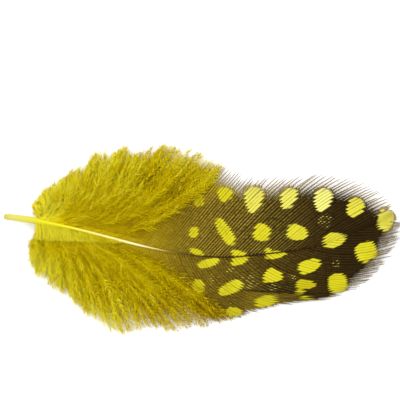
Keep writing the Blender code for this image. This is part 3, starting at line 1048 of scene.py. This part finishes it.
@dataclass
class DownTufts:
    """The down of one side: fine barbs that fan out from the shaft, each clothed in long barbules.

    Attributes:
        fan: For each side, the root of the outline's barb that a barb ends with, and where it starts itself.
        away: For each side, the degrees that a barb starts turned from its chord to the feather's tip.
        crowding: For each side, the power below 1 that sets the ends closer together towards the vane.
        light_and_shade_patches: Painted light and shade over broad places: middle x and y, size and change
            of tone.
        gather: How far each end is drawn towards the middle of its tuft.
        stunted: How many tufts, from the quill on, may be shorter.
        short: The share of the barbs that end before the outline.
        onward: How far such a barb's end lies towards the feather's tip, for one that would have no length.
        low: The lift of the deepest barb off the vane's face.
        high: The lift of the highest one.
        ramus: The radius of a barb's own shaft where it starts.
        hairs: How many hairs the barbules on one side of a barb gather into.
    """

    plan: FeatherPlan
    side: Side
    material: bpy.types.Material
    seed: int
    layer: str
    strands: int = 180
    barbules: int = 172
    rings: int = 18
    tufts: int = 28
    stunted: int = 9
    gather: float = 0.4
    fan: tuple[Rows, Rows] = (
        ((6.4, 6.4), (8.8, 7.6), (11.2, 8.8), (14.8, 10.8), (19.0, 13.5), (23.9, 17.0), (29.4, 22.5)),
        (
            (6.4, 6.4), (9.0, 6.8), (11.3, 7.2), (14.8, 7.8), (18.8, 8.8), (23.0, 10.2), (27.4, 12.6),
            (31.6, 17.2),
        ),
    )
    away: tuple[float, float] = (20.0, 27.0)
    crowding: tuple[float, float] = (0.76, 0.84)
    light_and_shade_patches: Rows = (
        (8.0, 5.2, 1.9, 0.42), (12.5, -0.9, 2.6, 0.02), (8.0, -4.0, 2.6, 0.34), (11.5, -7.5, 2.0, 0.1),
        (18.0, -3.0, 3.4, -0.06), (24.0, -4.5, 3.0, -0.1), (23.0, 8.0, 4.0, -0.1),
        (15.0, 8.0, 3.0, -0.06), (9.5, 8.8, 2.0, 0.25), (23.5, 2.8, 1.8, -0.14),
        (31.5, 9.0, 4.0, -0.14), (20.5, 13.4, 3.2, 0.22), (12.0, 12.0, 3.0, 0.1),
        (27.0, -8.5, 3.6, -0.08), (34.0, -11.0, 4.0, -0.3), (28.5, -11.5, 3.0, -0.12),
        (14.0, -8.0, 2.6, 0.08), (20.0, -15.0, 3.0, 0.14), (40.5, -13.0, 3.0, -0.42),
        (36.8, -7.9, 1.1, 0.3),
    )
    short: float = 0.45
    onward: float = 9.0
    low: float = -1.1
    high: float = 0.65
    ramus: float = 0.028
    hairs: int = 34
    barbule_length: float = 2.1
    barbule_thickness: float = 0.03
    leans: tuple[float, float] = (12.0, 52.0)
    tone: float = 0.5

    def ends(self, rng: Rng) -> tuple[Array, Array, Array, Array]:
        """Where the barbs end: spread along the outline, and a little closer together towards the vane.

        Args:
            rng: The source of the variation.

        Returns:
            For each barb, the root of the outline's barb that ends where it does, its tuft's number, that
            root at the middle of its tuft, and how far it is from that middle in tuft widths.
        """
        table = self.side.of(*self.fan)
        at = np.linspace(table[0][0], table[-1][0], 300)
        tips = self.plan.barb_at(self.side, at, 0.95)
        run = np.concatenate([[0.0], np.cumsum(np.linalg.norm(np.diff(tips, axis=0), axis=1))])
        places = (np.arange(self.strands) + rng.uniform(0, 1, self.strands)) / self.strands
        places = places ** self.side.of(*self.crowding) * run[-1]
        edges = np.linspace(0, run[-1], self.tufts + 1) + rng.normal(0, 0.25, self.tufts + 1)
        tuft = np.clip(np.searchsorted(edges, places) - 1, 0, self.tufts - 1)
        middle = (edges[tuft] + edges[tuft + 1]) / 2
        off = (places - middle) / (edges[tuft + 1] - edges[tuft])
        return np.interp(places, run, at), tuft, np.interp(middle, run, at), off

    def painted_light_and_shade_at(self, x: Array, y: Array) -> Array:
        """The painted light and shade of the patches: the sum of a bell curve of each one's size about its
        middle.
        """
        total = np.zeros(np.shape(x))
        for middle_x, middle_y, size, change in self.light_and_shade_patches:
            total += change * np.exp(-((x - middle_x) ** 2 + (y - middle_y) ** 2) / (2 * size**2))
        return total

    def flat_lines(self, rng: Rng) -> tuple[Array, Array, Array]:
        """The barbs' lines before they get their own heights.

        Seen from above a barb is a Bezier curve. It leaves the shaft turned from its chord towards the
        feather's tip, and ends turned back the other way. Its end is drawn towards the middle of its tuft,
        and it is shorter the further it is from that middle, so each tuft ends in a point.

        Args:
            rng: The source of the variation.

        Returns:
            Points in the shape (strand, ring, 3), and each barb's end and tuft.
        """
        ends, tuft, middle, off = self.ends(rng)
        count, table = len(ends), self.side.of(*self.fan)
        roots = straight(table, ends) + rng.normal(0, 0.5, count) * smooth(FIRST_ROOT, 10.0, ends)
        full = rng.uniform(0.92, 1.03, self.tufts)
        full[: self.stunted] -= 0.14 * rng.random(self.tufts)[: self.stunted]
        reach = full[tuft] - 0.1 * np.abs(off) * (self.gather > 0) - 0.1 * rng.random(count) ** 2
        ends = ends + (middle - ends) * self.gather + rng.normal(0, 0.25, count)
        ends = np.clip(ends, FIRST_ROOT, table[-1][0] + 0.8)
        early = (rng.random(count) < self.short) * rng.uniform(0.1, 0.55, count) * smooth(7.0, 12.0, ends)
        reach, ends = reach * (1 - early), ends + self.onward * early * smooth(27.0, 13.0, ends)
        start, tip = self.plan.shaft_at(roots), self.plan.barb_at(self.side, ends, reach)
        chord = (tip - start) * LEVEL
        length = np.linalg.norm(chord, axis=1)[:, None]
        heading = np.arctan2(chord[:, 1], chord[:, 0])
        away = rng.normal(self.side.of(*self.away), 7.0, count) * (1 - 0.75 * smooth(18.0, 27.0, ends))
        back = rng.normal(16.0, 8.0, self.tufts)[tuft] + rng.normal(0, 5, count)
        first = start + 0.4 * length * level(heading - self.side.value * np.radians(away))
        last = tip - 0.34 * length * level(heading + self.side.value * np.radians(back))
        t = np.linspace(0, 1, self.rings)[None, :]
        points = bezier(tuple(corner[:, None, :] for corner in (start, first, last, tip)), t)
        sway = 0.6 * wander(rng, count, t, (0.6, 1.3, 2.6)) * smooth(0.0, 0.4, t)
        return points + level(heading + math.pi / 2)[:, None, :] * sway[..., None], ends, tuft

    def strands_at(self, rng: Rng) -> tuple[Array, Array]:
        """The barbs' lines and tones, whose tones carry painted light where a barb lies high and painted
        shade where it sinks.

        A barb's height is the upper face's own plus a lift that swells in the middle of its length and
        wanders, so that it sinks and surfaces.

        Args:
            rng: The source of the variation.

        Returns:
            Points in the shape (strand, ring, 3), and tones in the shape (strand, ring).
        """
        points, ends, tuft = self.flat_lines(rng)
        count = len(ends)
        t = np.linspace(0, 1, self.rings)[None, :]
        depth = rng.random(count)
        plume = rng.uniform(-1, 1, self.tufts)[tuft]
        lift = self.low + (self.high - self.low) * depth + 0.24 * plume
        lift = lift + 0.3 * smooth(23.0, 30.0, ends) * (self.high > 0)
        surfacing = wander(rng, count, t, (0.8, 1.7))
        swell = 0.12 + 0.88 * smooth(0.08, 0.55, t) * smooth(1.08, 0.75, t)
        rise = rng.uniform(0.1, 0.8, (count, 1)) * smooth(0.6, 1.0, t)
        height = self.plan.height_at(self.side, points[..., 0], points[..., 1])
        points[..., 2] = np.maximum(height + (lift[:, None] + 0.45 * surfacing) * swell + rise, 0.1)
        # Painted light and shade: deeper barbs and sunk stretches darker, higher tufts and surfacing
        # stretches lighter.
        change = 0.14 * (depth - 0.5) + 0.11 * plume + rng.normal(0, 0.04, count)
        return points, self.tone + (change[:, None] + 0.09 * surfacing) * (0.3 + 0.7 * smooth(0.1, 0.45, t))

    def add_strand_tubes(self, draft: MeshDraft, points: Array, tones: Array) -> None:
        """Adds each barb's own shaft, a three-cornered tube that tapers to a third."""
        t = np.linspace(0, 1, self.rings)
        ahead = unit(np.gradient(points, axis=1))
        aside = unit(np.cross(UP, ahead))
        above = np.cross(ahead, aside)
        radius = (self.ramus * (1 - 0.66 * t))[None, :, None, None]
        turn = (2 * math.pi * np.arange(3) / 3 + 0.5)[None, None, :, None]
        around = aside[:, :, None, :] * np.cos(turn) + above[:, :, None, :] * np.sin(turn)
        rings = points[:, :, None, :] + radius * around
        tone = tones[..., None] + 0.1 * t[None, :, None] + self.painted_light_and_shade_at(rings[..., 0], rings[..., 1])
        draft.add_tubes(rings, {"tone": tone})

    def add_barbules(self, draft: MeshDraft, points: Array, tones: Array, rng: Rng) -> None:
        """Adds the barbules: spikes that lean off their barb and lie together by twos and threes as hairs.

        A hair's spikes share a lean, a rise and a tone. Hairs lean and reach little near the shaft, where
        the down is smooth, and most in the barb's outer half. A hair rooted above the vane stays above it.
        """
        barb = np.repeat(np.arange(len(points)), self.barbules)
        count = len(barb)
        even = (rng.uniform(0.01, 0.985, count) ** 0.72) * self.hairs
        middle = even.astype(int) + 0.5
        t = (middle + (even - middle) * 0.45) / self.hairs
        ring = t * (self.rings - 1)
        low = ring.astype(int)
        way = rng.integers(0, 2, count)
        hair = (barb * self.hairs + even.astype(int)) * 2 + way
        shared = rng.uniform(0, 1, (len(points) * self.hairs * 2, 4))[hair].T
        uneven = np.where((way == 1) == (self.side is Side.UPPER), 0.95, 1.05)
        least, most = self.leans
        lean = least + (most - least) * (0.8 * shared[0] + 0.2 * rng.random(count))
        lean = lean * uneven * (0.3 + 0.7 * smooth(0.08, 0.5, t)) * (1 - 0.35 * smooth(0.75, 1.0, t))
        rise = 0.5 * (shared[1] - 0.45) * smooth(0.05, 0.45, t) + rng.normal(0, 0.05, count)
        ahead = unit(np.gradient(points, axis=1))[barb, low]
        heading = turned(ahead, np.radians(lean) * (2 * way - 1), rise)
        reach = self.barbule_length * (0.45 + 0.7 * shared[2]) * rng.uniform(0.8, 1.1, count)
        reach = reach * uneven * (0.5 + 0.5 * smooth(0.0, 0.4, t)) * (1 - 0.45 * smooth(0.6, 1.0, t))
        root = between(points, barb, ring)
        tips = root + heading * reach[:, None]
        above = root[:, 2] > self.plan.height_at(self.side, root[:, 0], root[:, 1])
        face = self.plan.height_at(self.side, tips[:, 0], tips[:, 1]) + rng.uniform(0.05, 0.3, count)
        tips[:, 2] = np.maximum(tips[:, 2], np.where(above & (root[:, 0] > 22.0), face, 0.04))
        change = 0.16 * (shared[3] - 0.5) + 0.26 * (shared[3] > 0.95)
        tone = tones[barb, low] + 0.26 * smooth(0.65, 1.0, t) - 0.04
        tone = tone + change * (0.25 + 0.75 * smooth(0.1, 0.45, t))
        tone = tone + rng.normal(0, 0.03, count) + self.painted_light_and_shade_at(root[:, 0], root[:, 1])
        pales = np.array((-0.08, -0.08, -0.08, 0.18))
        thickness = self.barbule_thickness * rng.uniform(0.7, 1.2, count) * (1 - 0.2 * smooth(0.65, 1.0, t))
        draft.add_spikes(root, tips, thickness, {"tone": tone[:, None] + pales})

    def build(self) -> bpy.types.Object:
        """All of this layer's barbs with their barbules, as one piece."""
        rng = np.random.default_rng(self.seed)
        points, tones = self.strands_at(rng)
        draft = MeshDraft()
        self.add_strand_tubes(draft, points, tones)
        self.add_barbules(draft, points, tones, rng)
        piece = draft.build(f"{self.side.name.lower()}_down_{self.layer}", self.material)
        return piece


@dataclass
class DownCollar(DownTufts):
    """Short smooth down that hugs the lower side of the shaft behind the quill and ends in an even line."""

    strands: int = 240
    barbules: int = 70
    rings: int = 8
    barbule_length: float = 0.8
    tone: float = 1.0
    first_x: float = 6.3
    last_x: float = 21.0
    end_y: Rows = ((5.6, 1.2), (7.0, 1.05), (12.0, 1.0), (16.0, 0.85), (21.0, 0.6))
    # A patch of painted light over the collar's first part.
    light_and_shade_patches: Rows = ((7.5, 3.5, 2.0, 0.1),)

    def strands_at(self, rng: Rng) -> tuple[Array, Array]:
        """Straight short barbs from the shaft to the even line, over the long down.

        Args:
            rng: The source of the variation.

        Returns:
            Points in the shape (strand, ring, 3), and tones in the shape (strand, ring).
        """
        x = np.linspace(self.first_x, self.last_x, self.strands) + rng.normal(0, 0.06, self.strands)
        start = self.plan.shaft_at(x)
        end_x = x - 0.15 + 0.08 * (x - self.first_x) + rng.normal(0, 0.26, self.strands)
        end_y = straight(self.end_y, end_x) + rng.normal(0, 0.1, self.strands)
        end = np.stack([end_x, end_y, start[:, 2] - 0.5], axis=-1)
        t = np.linspace(0, 1, self.rings)
        points = start[:, None, :] * (1 - t)[None, :, None] + end[:, None, :] * t[None, :, None]
        points[..., 2] += 0.85 * t**0.6 + rng.uniform(-0.1, 0.15, (self.strands, 1))
        points[..., 2] += 0.4 * smooth(9.0, 6.5, x)[:, None]
        points[..., 0] += 0.06 * wander(rng, self.strands, t[None, :], (0.7, 1.5))
        tones = self.tone - 0.24 * smooth(12.0, 19.0, x) + rng.normal(0, 0.06, self.strands)
        return points, np.repeat(tones[:, None], self.rings, axis=1)


@dataclass
class Wisps:
    """Short loose barbules over the first part of one vane, where down and vane grow into each other."""

    plan: FeatherPlan
    side: Side
    material: bpy.types.Material
    seed: int
    count: int = 19000
    turn: tuple[float, float] = (85.0, 32.0)
    first_root: float = 13.0
    last_root: float = 39.0
    lengths: tuple[float, float] = (0.6, 2.0)
    thickness: float = 0.015

    def build(self) -> bpy.types.Object:
        """Spikes turned off the barbs that they lie on, fewer towards the feather's tip."""
        rng = np.random.default_rng(self.seed)
        root_x = self.first_root + (self.last_root - self.first_root) * rng.random(self.count) ** 1.25
        reach = np.minimum(self.plan.turns_to_down(self.side, root_x) + 0.05, 0.57)
        share = 0.05 + rng.random(self.count) * reach
        keep = 1 - 0.95 * smooth(22.0, 37.0, root_x + 6 * (1 - share))
        keep = rng.random(self.count) < keep * smooth(13.0, 22.0, root_x)
        root_x, share = root_x[keep], share[keep]
        count = len(share)
        roots = self.plan.barb_at(self.side, root_x, share)
        ahead = unit(self.plan.barb_at(self.side, root_x, share + 0.02) - roots)
        turn = np.radians(rng.normal(self.side.of(*self.turn), 14.0, count))
        heading = turned(ahead, turn, rng.uniform(0.0, 0.25, count))
        roots[:, 2] += rng.uniform(0.04, 0.2, count)
        tips = roots + heading * rng.uniform(*self.lengths, count)[:, None]
        tone = 0.4 + rng.normal(0, 0.1, count) - 0.26 * smooth(18.0, 34.0, root_x)
        tone = tone + 0.4 * (rng.random(count) > 0.94)
        draft = MeshDraft()
        draft.add_spikes(roots, tips, np.full(count, self.thickness), {"tone": tone})
        piece = draft.build(f"{self.side.name.lower()}_vane_wisps", self.material)
        return piece


@dataclass(frozen=True)
class Studio:
    """A pale floor, a soft key light, even daylight from all round, and the camera straight above.

    Sizes and places of the floor and the key are in metres, those of the view in millimetres.
    """

    floor_half: float = 1.5
    key_place: tuple[float, float, float] = (-0.35, 0.35, 0.6)
    key_size: float = 0.5
    key_power: float = 2.8
    daylight: float = 1.38
    view_width: float = 76.0
    view_centre: tuple[float, float] = (-0.278, 7.502)
    view_height: float = 1.2
    lens: float = 180.0
    sensor: float = 36.0

    def floor(self) -> None:
        """A square ground of matt white card."""
        mesh = bpy.data.meshes.new("floor")
        half = self.floor_half
        corners = [(-half, -half, 0), (half, -half, 0), (half, half, 0), (-half, half, 0)]
        mesh.from_pydata(corners, [], [(0, 1, 2, 3)])
        floor = bpy.data.objects.new("floor", mesh)
        bpy.context.scene.collection.objects.link(floor)
        nodes = ShaderNodes("white_card")
        base = nodes.mix(nodes.noise(nodes.place(), 900.0, 2.0), srgb(246, 246, 246), srgb(250, 250, 250))
        mesh.materials.append(nodes.dress(base, 0.9, 0.1))

    def lights(self) -> None:
        """The key from above and to the left, and a white world."""
        light = bpy.data.lights.new("key", "AREA")
        light.shape = "SQUARE"
        light.size = self.key_size
        light.energy = self.key_power
        key = bpy.data.objects.new("key", light)
        key.location = self.key_place
        key.rotation_euler = (-key.location).to_track_quat("-Z", "Y").to_euler()
        bpy.context.scene.collection.objects.link(key)
        world = bpy.data.worlds.new("daylight")
        world.use_nodes = True
        background = world.node_tree.nodes["Background"].inputs
        background["Color"].default_value = (1.0, 1.0, 1.0, 1.0)
        background["Strength"].default_value = self.daylight
        bpy.context.scene.world = world
        bpy.context.scene.view_settings.view_transform = "Standard"

    def camera(self) -> None:
        """A long lens straight above, whose frame is view_width wide at view_height over the table."""
        camera = bpy.data.cameras.new("camera")
        camera.lens = self.lens
        camera.sensor_width = self.sensor
        camera.clip_start = 0.01
        holder = bpy.data.objects.new("camera", camera)
        height = self.view_height + self.view_width * self.lens / self.sensor
        holder.location = [MM * place for place in (*self.view_centre, height)]
        bpy.context.scene.collection.objects.link(holder)
        bpy.context.scene.camera = holder

    def build(self) -> None:
        """Sets the whole stage."""
        self.floor()
        self.lights()
        self.camera()


def main() -> None:
    """Builds every piece, lets it ride on the feather's body in the node's place, and sets the stage."""
    logging.basicConfig(level=logging.INFO, format="%(name)s: %(message)s")
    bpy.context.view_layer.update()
    plan, pattern, crease = FeatherPlan(), Pattern(), Crease()
    vane, down = VaneFinish().material(), DownFinish().material()
    inner = {"gather": 0.0, "short": 0.0, "strands": 212, "barbule_thickness": 0.066, "high": 0.0}
    pieces = [Shaft(plan, HornFinish()).build()]
    for side, seed in ((Side.UPPER, 11), (Side.LOWER, 23)):
        pieces += Vane(plan, pattern, crease, side, vane, seed).build()
        # The inner layer lies under the outer one; its lower tone is painted shade.
        pieces.append(DownTufts(plan, side, down, seed + 100, "inner", tone=0.44, **inner).build())
        pieces.append(DownTufts(plan, side, down, seed + 200, "outer", low=-0.1, tone=0.6).build())
        pieces.append(Wisps(plan, side, down, seed + 300).build())
    pieces.append(DownCollar(plan, Side.LOWER, down, 31, "collar").build())
    for piece in pieces:
        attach(piece, BODY)
        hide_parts(NODE)
        faces = sum(len(p.vertices) - 2 for p in piece.data.polygons)
        log.info("%s: %d vertices, %d triangles", piece.name, len(piece.data.vertices), faces)
    Studio().build()


if __name__ == "__main__":
    main()
